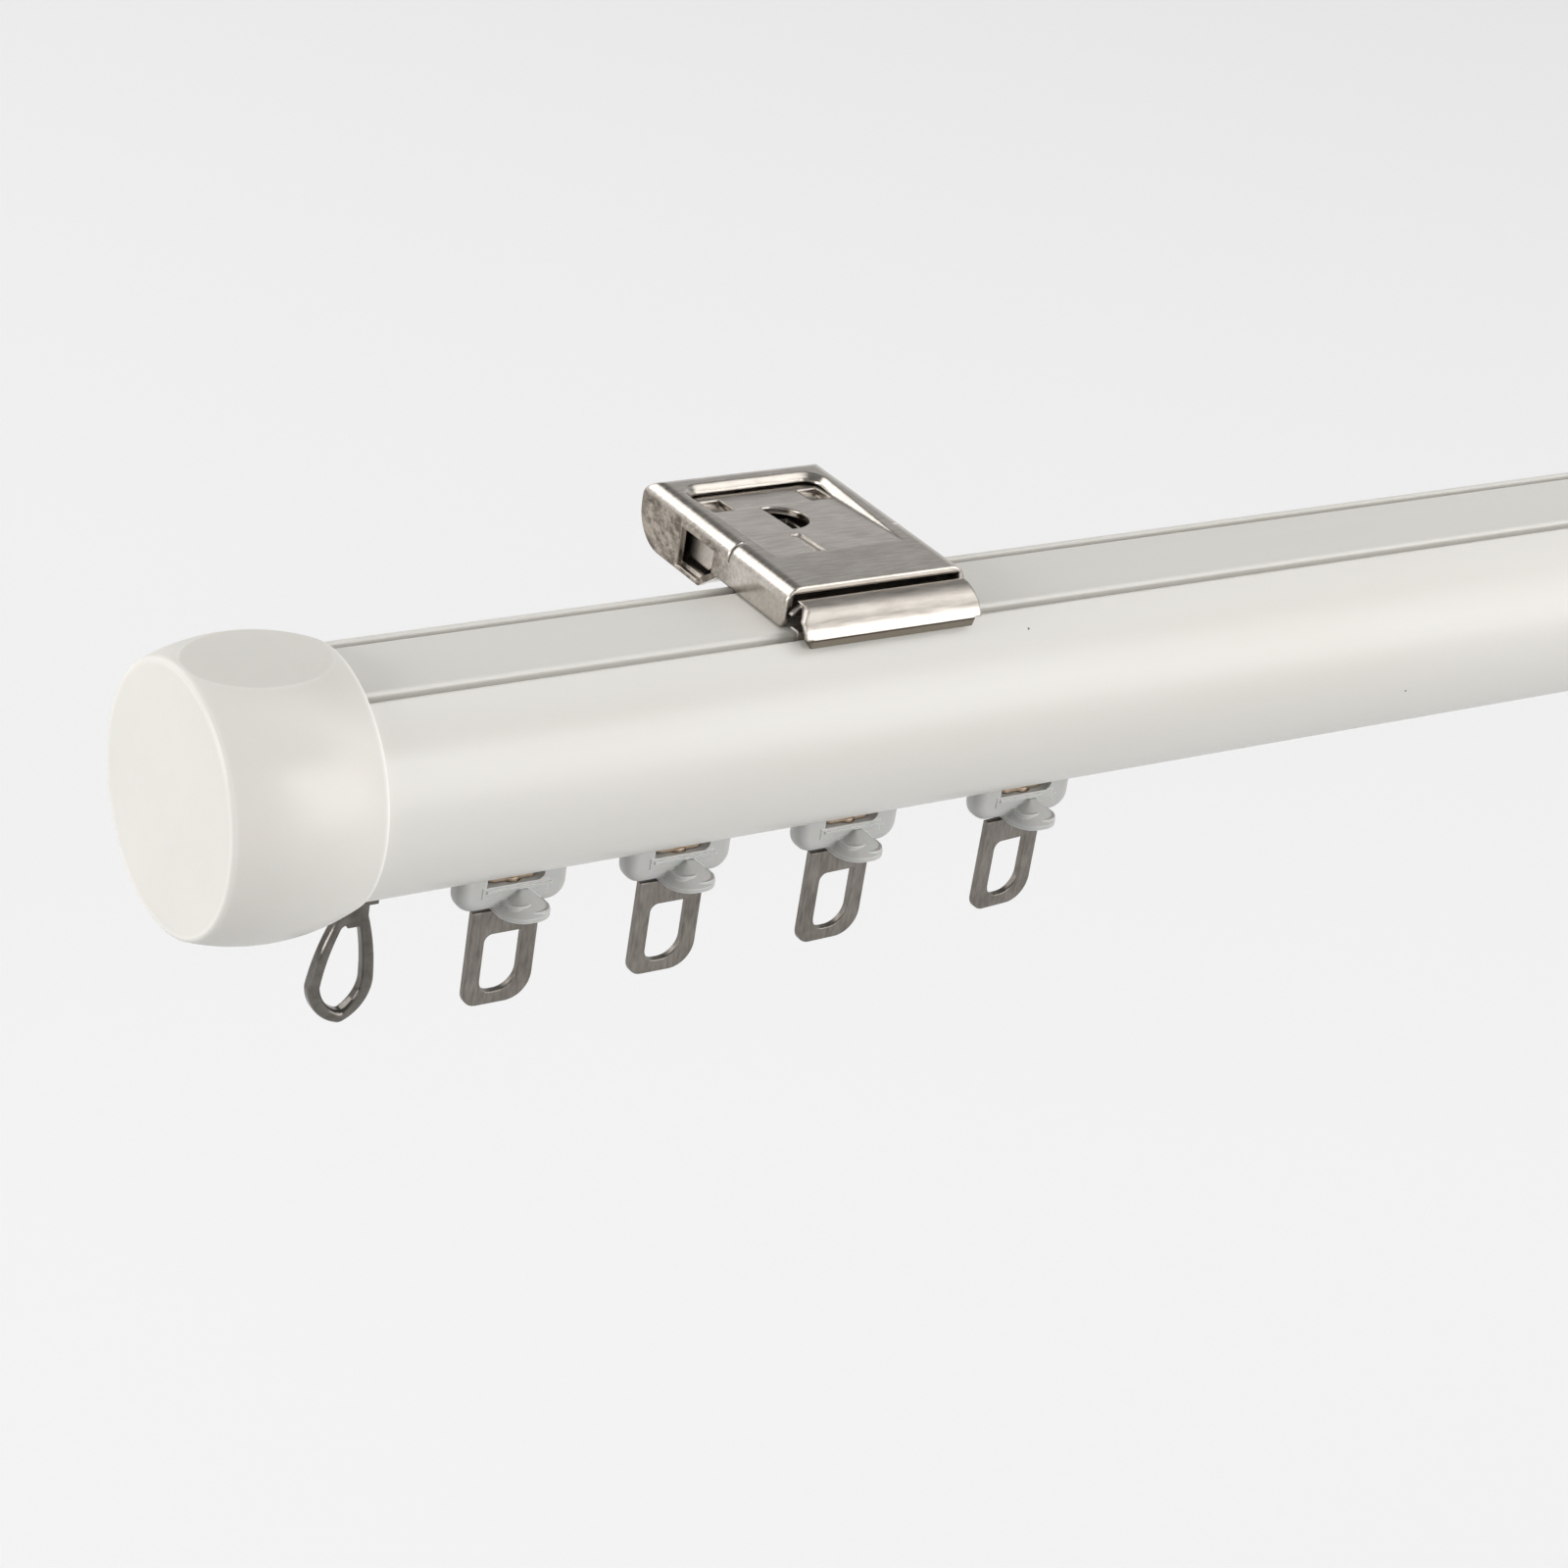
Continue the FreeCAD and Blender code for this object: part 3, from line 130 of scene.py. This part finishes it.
# Painted dark reflection below the latch's fold, and the darker painted shade line just under it.
LATCH_PAINTED_DARK_REFLECTION = colour(132, 123, 111)
PAINTED_SHADE_LINE = colour(58, 52, 46)

EYE_DARK = colour(104, 99, 93)
EYE_LIGHT = colour(134, 129, 123)
EYE_BRASS = colour(182, 164, 144)

RING_DARK = colour(88, 84, 80)
RING_LIGHT = colour(116, 112, 107)

STOP_DARK = colour(150, 149, 146)
STOP_LIGHT = colour(180, 179, 176)
AXLE_DARK = colour(155, 154, 152)
AXLE_LIGHT = colour(185, 184, 182)
SPRING_DARK = colour(128, 127, 125)
SPRING_LIGHT = colour(168, 167, 165)


class Nodes:
    """Small helper that adds and links the nodes of one material."""

    def __init__(self, name):
        self.material = bpy.data.materials.new(name)
        self.material.use_nodes = True
        self.tree = self.material.node_tree
        self.shader = self.tree.nodes["Principled BSDF"]
        self.place = self.add("ShaderNodeTexCoord").outputs["Object"]

    def add(self, kind, **settings):
        node = self.tree.nodes.new(kind)
        for key, value in settings.items():
            setattr(node, key, value)
        return node

    def put(self, socket, value):
        if hasattr(value, "is_output"):
            self.tree.links.new(value, socket)
        else:
            socket.default_value = value

    def stretched(self, x, y, z):
        """Place, scaled along each axis, in cycles a metre."""
        mapping = self.add("ShaderNodeMapping")
        self.put(mapping.inputs["Vector"], self.place)
        self.put(mapping.inputs["Scale"], (x, y, z))
        return mapping.outputs["Vector"]

    def along(self, axis):
        """Place along one axis, in metres."""
        return self.axis_of(self.place, axis)

    def axis_of(self, vector, axis):
        parts = self.add("ShaderNodeSeparateXYZ")
        self.put(parts.inputs[0], vector)
        return parts.outputs[axis]

    def normal(self):
        return self.add("ShaderNodeNewGeometry").outputs["Normal"]

    def noise(self, vector, scale=1.0, detail=3.0, roughness=0.5):
        node = self.add("ShaderNodeTexNoise")
        self.put(node.inputs["Vector"], vector)
        self.put(node.inputs["Scale"], scale)
        self.put(node.inputs["Detail"], detail)
        self.put(node.inputs["Roughness"], roughness)
        return node.outputs["Fac"]

    def spread(self, value, low, high, to_low=0.0, to_high=1.0):
        """The range from low to high, spread over another range."""
        node = self.add("ShaderNodeMapRange", clamp=True)
        self.put(node.inputs["Value"], value)
        self.put(node.inputs["From Min"], low)
        self.put(node.inputs["From Max"], high)
        self.put(node.inputs["To Min"], to_low)
        self.put(node.inputs["To Max"], to_high)
        return node.outputs["Result"]

    def share(self, noise, to_low=0.0, to_high=1.0, half_range=0.2):
        """The middle of a noise's range, spread over another range."""
        return self.spread(noise, NOISE_MIDDLE - half_range, NOISE_MIDDLE + half_range, to_low, to_high)

    def maths(self, operation, first, second=0.0):
        node = self.add("ShaderNodeMath", operation=operation)
        self.put(node.inputs[0], first)
        self.put(node.inputs[1], second)
        return node.outputs[0]

    def mix(self, share, first, second):
        node = self.add("ShaderNodeMix", data_type="RGBA")
        self.put(node.inputs["Factor"], share)
        self.put(node.inputs["A"], first)
        self.put(node.inputs["B"], second)
        return node.outputs["Result"]

    def heights(self, *layers):
        """Sum of several bump layers, each given as (value, depth)."""
        total = None
        for value, depth in layers:
            part = self.maths("MULTIPLY", value, depth)
            total = part if total is None else self.maths("ADD", total, part)
        return total

    def bump(self, height, rounding=0.0):
        """Surface detail of real depth in metres, over edges rounded by so much."""
        node = self.add("ShaderNodeBump")
        self.put(node.inputs["Height"], height)
        self.put(node.inputs["Distance"], 1.0)
        if rounding:
            self.put(node.inputs["Normal"], self.rounded(rounding))
        self.put(self.shader.inputs["Normal"], node.outputs["Normal"])

    def rounded(self, radius):
        node = self.add("ShaderNodeBevel", samples=BEVEL_SAMPLES)
        self.put(node.inputs["Radius"], radius)
        return node.outputs["Normal"]

    def edge(self, radius, low=0.02, high=0.25):
        """1 on sharp edges, 0 on flat stretches."""
        across = self.add("ShaderNodeVectorMath", operation="DOT_PRODUCT")
        self.put(across.inputs[0], self.rounded(radius))
        self.put(across.inputs[1], self.normal())
        return self.spread(self.maths("SUBTRACT", 1.0, across.outputs["Value"]), low, high)

    def specks(self):
        """1 on a few small round specks, 0 elsewhere."""
        cells = self.add("ShaderNodeTexVoronoi", feature="F1")
        self.put(cells.inputs["Vector"], self.place)
        self.put(cells.inputs["Scale"], SPECKS_A_METRE)
        near = self.spread(cells.outputs["Distance"], SPECK_INNER, SPECK_OUTER, 1.0, 0.0)
        chosen = self.add("ShaderNodeSeparateColor")
        self.put(chosen.inputs[0], cells.outputs["Color"])
        rare = self.spread(chosen.outputs[0], SPECK_RARITY, SPECK_RARITY_END)
        return self.maths("MULTIPLY", near, rare)

    def set(self, **values):
        for name, value in values.items():
            self.put(self.shader.inputs[name.replace("_", " ")], value)

    def cover(self, share, finish):
        """Another colour over the one already set, by the given share."""
        under = self.shader.inputs["Base Color"].links[0].from_socket
        self.set(Base_Color=self.mix(share, under, finish))


def rail_paint():
    """Satin off-white paint: drawn lines along the rail, a soft unevenness, a few dust specks and a painted
    highlight lightening its edges.
    """
    n = Nodes("rail_paint")
    lines = n.noise(n.stretched(x=3.0, y=2600.0, z=2600.0), detail=2.0)
    clouds = n.noise(n.stretched(x=9.0, y=60.0, z=60.0))
    tint = n.mix(n.share(clouds), RAIL_DARK, RAIL_LIGHT)
    # painted highlight: the edges are lightened in the colour itself
    tint = n.mix(n.edge(radius=0.7 * MM), tint, RAIL_PAINTED_HIGHLIGHT)
    specks = n.specks()
    n.set(Base_Color=n.mix(specks, tint, RAIL_SPECK))
    n.set(Roughness=n.share(lines, to_low=0.30, to_high=0.38))
    grain = n.noise(n.place, scale=1800.0, detail=2.0)
    n.bump(n.heights((lines, 1.2 * MICRON), (grain, 1.5 * MICRON), (specks, SPECK_DEPTH)))
    return n.material


def cap_plastic():
    """Satin moulded plastic, fine orange peel, with a painted highlight that lightens its edges."""
    n = Nodes("cap_plastic")
    clouds = n.noise(n.place, scale=70.0)
    tint = n.mix(n.share(clouds), CAP_DARK, CAP_LIGHT)
    # painted highlight: the edges are lightened in the colour itself
    n.set(Base_Color=n.mix(n.edge(radius=1.3 * MM, low=0.01, high=0.1), tint, CAP_PAINTED_HIGHLIGHT))
    peel = n.noise(n.place, scale=900.0, detail=2.0)
    fine_peel = n.noise(n.place, scale=3500.0)
    n.set(Roughness=n.share(peel, to_low=0.31, to_high=0.37))
    n.set(Subsurface_Weight=0.08, Subsurface_Scale=0.6 * MM)
    n.bump(n.heights((peel, 1.5 * MICRON), (fine_peel, 0.3 * MICRON)))
    return n.material


def runner_plastic():
    """Milky grey moulded plastic with a painted highlight lightening its edges."""
    n = Nodes("runner_plastic")
    clouds = n.noise(n.place, scale=160.0)
    tint = n.mix(n.share(clouds), RUNNER_DARK, RUNNER_LIGHT)
    # painted highlight: the edges are lightened in the colour itself
    n.set(Base_Color=n.mix(n.edge(radius=0.25 * MM), tint, RUNNER_PAINTED_HIGHLIGHT))
    flow = n.noise(n.stretched(x=260.0, y=260.0, z=900.0), detail=2.0)
    pores = n.noise(n.place, scale=3000.0)
    n.set(Roughness=n.share(flow, to_low=0.36, to_high=0.5))
    n.set(Subsurface_Weight=0.12, Subsurface_Scale=0.8 * MM)
    n.bump(n.heights((flow, 6 * MICRON), (pores, 1.5 * MICRON)), rounding=0.2 * MM)
    return n.material


def wheel_plastic():
    """Pale moulded plastic of the wheels."""
    n = Nodes("wheel_plastic")
    marks = n.noise(n.place, scale=500.0)
    pores = n.noise(n.place, scale=2600.0)
    n.set(Base_Color=n.mix(n.share(marks), WHEEL_DARK, WHEEL_LIGHT))
    n.set(Roughness=n.share(marks, to_low=0.38, to_high=0.52))
    n.bump(n.heights((pores, 3 * MICRON)), rounding=0.2 * MM)
    return n.material


def brushed(name, dark, light, grain, roughness, depth, rounding):
    """Metal with brushing lines: grain gives the lines' fineness along each axis, in cycles a metre."""
    n = Nodes(name)
    lines = n.noise(n.stretched(*grain), detail=4.0, roughness=0.6)
    clouds = n.noise(n.place, scale=220.0, detail=2.0)
    tone = n.heights((lines, LINES_SHARE), (clouds, CLOUDS_SHARE))
    n.set(Base_Color=n.mix(n.share(tone, half_range=0.15), dark, light), Metallic=1.0)
    n.set(Roughness=n.share(lines, to_low=roughness - SMOOTHER, to_high=roughness + ROUGHER))
    pits = n.noise(n.place, scale=2400.0, detail=2.0)
    n.bump(n.heights((lines, depth), (pits, depth / 2), (clouds, depth * 2)), rounding=rounding)
    return n


def plated_steel(name, roughness):
    """Nickel-plated pressed steel, brushed across the bracket."""
    return brushed(
        name, PLATED_DARK, PLATED_LIGHT, grain=(300.0, 2400.0, 2400.0),
        roughness=roughness, depth=1.5 * MICRON, rounding=0.45 * MM,
    )


def bracket_steel():
    """The bracket's base: mottled and darker on its side walls, behind."""
    n = plated_steel("bracket_steel", roughness=0.22)
    sideways = n.maths("ABSOLUTE", n.axis_of(n.normal(), "X"))
    side = n.spread(sideways, SIDE_FACING, SIDE_FACING_FULL)
    # side walls behind the front are mixed toward a darker mottled colour
    darker_side_place = n.maths("MULTIPLY", side, n.spread(n.along("Y"), DARKER_FROM, DARKER_FULL))
    mottle = n.noise(n.stretched(x=700.0, y=700.0, z=1100.0), detail=4.0, roughness=0.65)
    n.cover(darker_side_place, n.mix(n.share(mottle, half_range=0.12), SIDE_DARK, SIDE_LIGHT))
    return n.material


def latch_steel():
    """The bracket's latch: the edge folded back over the rail gets a painted dark reflection, and a darker
    painted shade line just under the fold.
    """
    n = plated_steel("latch_steel", roughness=0.33)
    height = n.along("Z")
    below = n.spread(height, LATCH_FOLD - LATCH_FOLD_BLUR, LATCH_FOLD, 1.0, 0.0)
    front = n.spread(n.along("Y"), LATCH_LIP, LATCH_LIP + LATCH_LIP_BLUR, 1.0, 0.0)
    painted_shade_line = n.spread(height, LATCH_FOLD - SHADE_LINE_LOW, LATCH_FOLD - SHADE_LINE_HIGH)
    # painted dark reflection below the fold, darkening into a painted shade line just under it
    n.cover(n.maths("MULTIPLY", below, front), n.mix(painted_shade_line, LATCH_PAINTED_DARK_REFLECTION, PAINTED_SHADE_LINE))
    return n.material


def eye_steel():
    """Brushed steel eye; its stem and head, up in the runner, are brassy."""
    n = brushed(
        "eye_steel", EYE_DARK, EYE_LIGHT, grain=(2600.0, 2600.0, 500.0),
        roughness=0.36, depth=3 * MICRON, rounding=0.2 * MM,
    )
    n.cover(n.spread(n.along("Z"), BRASS_FROM, BRASS_FULL), EYE_BRASS)
    return n.material


def ring_metal():
    """Dark polished chrome."""
    return brushed(
        "ring_metal", RING_DARK, RING_LIGHT, grain=(RING_GRAIN, RING_GRAIN, RING_GRAIN),
        roughness=0.12, depth=1 * MICRON, rounding=0.4 * MM,
    ).material


def plain_steel(name, dark, light, roughness):
    """Small steel parts inside the track and the bracket."""
    return brushed(
        name, dark, light, grain=(PLAIN_GRAIN, PLAIN_GRAIN, PLAIN_GRAIN),
        roughness=roughness, depth=3 * MICRON, rounding=0.12 * MM,
    ).material


def dress():
    """Each part gets its slot's material; the latches have one of their own."""
    materials = {
        "rail_paint": rail_paint(),
        "cap_plastic": cap_plastic(),
        "runner_plastic": runner_plastic(),
        "wheel_plastic": wheel_plastic(),
        "bracket_steel": bracket_steel(),
        "latch_steel": latch_steel(),
        "eye_steel": eye_steel(),
        "ring_metal": ring_metal(),
        "stop_steel": plain_steel("stop_steel", STOP_DARK, STOP_LIGHT, roughness=0.3),
        "axle_steel": plain_steel("axle_steel", AXLE_DARK, AXLE_LIGHT, roughness=0.22),
        "spring_steel": plain_steel("spring_steel", SPRING_DARK, SPRING_LIGHT, roughness=0.25),
    }
    for part in frame["record"]["subparts"]:
        name = "latch_steel" if part["node"].endswith("latch") else part["material_slot"]
        node = frame["nodes"][part["node"]]
        node.data.materials.clear()
        node.data.materials.append(materials[name])


def floor():
    """Pale floor, brighter to the camera and in reflections than the light it sends on."""
    mesh = bpy.data.meshes.new("floor")
    half = FLOOR_HALF
    corners = [(-half, -half, 0.0), (half, -half, 0.0), (half, half, 0.0), (-half, half, 0.0)]
    mesh.from_pydata(corners, [], [(0, 1, 2, 3)])
    thing = bpy.data.objects.new("floor", mesh)
    bpy.context.scene.collection.objects.link(thing)
    thing.location.z = FLOOR_LEVEL
    n = Nodes("floor")
    ray = n.add("ShaderNodeLightPath")
    seen = n.maths("MAXIMUM", ray.outputs["Is Camera Ray"], ray.outputs["Is Glossy Ray"])
    seen = n.maths("MAXIMUM", seen, ray.outputs["Is Transmission Ray"])
    n.set(Base_Color=(FLOOR_GREY, FLOOR_GREY, FLOOR_GREY, 1.0), Roughness=FLOOR_ROUGHNESS)
    n.set(Specular_IOR_Level=0.0, Emission_Color=WHITE)
    n.set(Emission_Strength=n.maths("MULTIPLY", seen, FLOOR_GLOW))
    mesh.materials.append(n.material)


def sky():
    """Studio surroundings, brighter near the horizon than overhead."""
    world = bpy.data.worlds.new("studio")
    bpy.context.scene.world = world
    world.use_nodes = True
    tree = world.node_tree
    direction = tree.nodes.new("ShaderNodeTexCoord")
    parts = tree.nodes.new("ShaderNodeSeparateXYZ")
    tree.links.new(direction.outputs["Generated"], parts.inputs[0])
    levels = tree.nodes.new("ShaderNodeValToRGB")
    levels.color_ramp.interpolation = "EASE"
    stops = levels.color_ramp.elements
    for index, (height, light) in enumerate(STUDIO_LIGHT):
        stop = stops[index] if index < len(stops) else stops.new(height)
        stop.position = height
        stop.color = (light, light, light, 1.0)
    tree.links.new(parts.outputs["Z"], levels.inputs["Fac"])
    background = tree.nodes["Background"]
    tree.links.new(levels.outputs["Color"], background.inputs["Color"])


def lamps():
    """Softboxes around the track, all aimed at the same place on it."""
    for name, (direction, distance, width, height, power) in LAMPS.items():
        light = bpy.data.lights.new(name, "AREA")
        light.shape = "RECTANGLE"
        light.size = width
        light.size_y = height
        light.energy = power
        lamp = bpy.data.objects.new(name, light)
        bpy.context.scene.collection.objects.link(lamp)
        lamp.location = LAMPS_AIM + direction.normalized() * distance
        lamp.rotation_mode = "QUATERNION"
        lamp.rotation_quaternion = (-direction).to_track_quat("-Z", "Y")


def camera():
    """The photograph's camera."""
    data = bpy.data.cameras.new("camera")
    data.lens = LENS_MM
    data.sensor_width = SENSOR_MM
    data.clip_start = NEAREST_SEEN
    data.clip_end = FARTHEST_SEEN
    thing = bpy.data.objects.new("camera", data)
    bpy.context.scene.collection.objects.link(thing)
    back = CAMERA_RIGHT.cross(CAMERA_UP)
    axes = Matrix((CAMERA_RIGHT, CAMERA_UP, back)).transposed()
    thing.matrix_world = Matrix.Translation(CAMERA_PLACE) @ axes.to_4x4()
    bpy.context.scene.camera = thing


camera()
dress()
floor()
sky()
lamps()
bpy.context.scene.view_settings.view_transform = "Standard"
